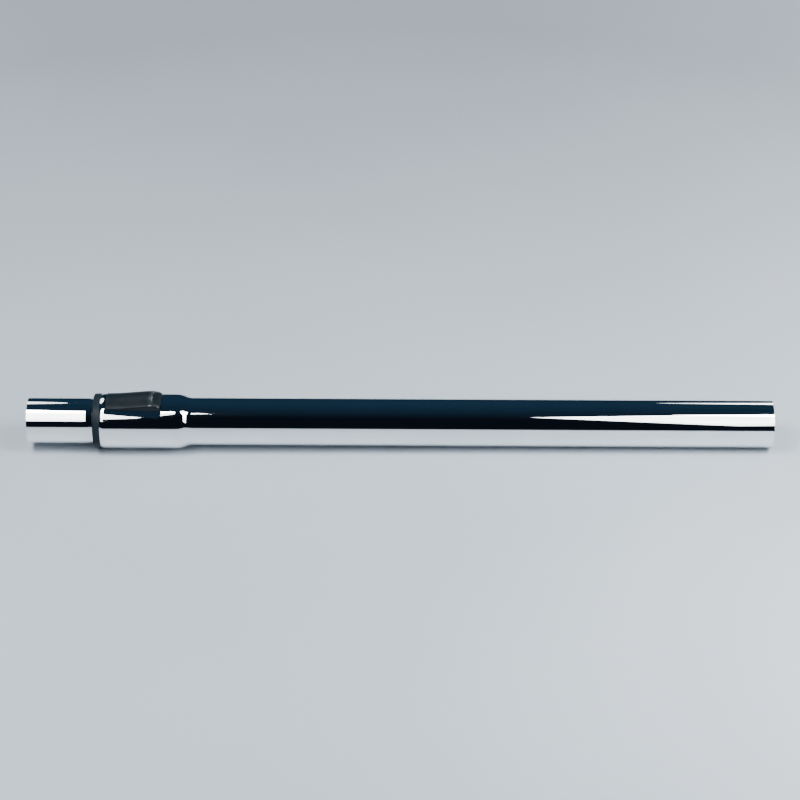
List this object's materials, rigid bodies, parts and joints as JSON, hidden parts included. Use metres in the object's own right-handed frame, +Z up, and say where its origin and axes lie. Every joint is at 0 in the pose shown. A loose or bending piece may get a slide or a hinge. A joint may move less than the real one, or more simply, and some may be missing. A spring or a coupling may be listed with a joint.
{
  "type": "telescopic vacuum wand",
  "caption": "Collapsed chrome telescopic vacuum wand: an inner tube slides out of a swaged sleeve with a black end collar, locked by a rocking thumb key.",
  "frame": {"origin": "middle of the handle socket's mouth", "axes": "+X along the wand, out of the handle socket; the nozzle end is at -X; +Z up towards the release key"},
  "size_m": [0.5642, 0.042, 0.0442],
  "materials": {
    "chrome": "polished",
    "black_plastic": "satin",
    "liner_plastic": "matte",
    "felt": "matte",
    "steel": "satin"
  },
  "bodies": {
    "outer": {"outer_tube": "chrome", "guide_sleeve": "liner_plastic", "end_collar": "black_plastic", "wiper_ring": "felt", "pivot_pin": "steel", "return_spring": "steel"},
    "inner": {"inner_tube": "chrome", "tail_bush": "liner_plastic"},
    "key": {"release_key": "black_plastic", "lock_tooth": "steel"}
  },
  "joints": [
    {"name": "telescope_slide", "type": "slide", "parent": "outer", "child": "inner", "axis": [-1, 0, 0], "range_m": [0, 0.372]},
    {"name": "key_press", "type": "hinge", "parent": "outer", "child": "key", "pos_m": [-0.48, 0, 0.0193], "axis": [0, 1, 0], "range_deg": [0, 4], "stiffness_Nm_per_rad": 0.1, "springref_deg": -13.18, "deforming": ["return_spring"]}
  ]
}
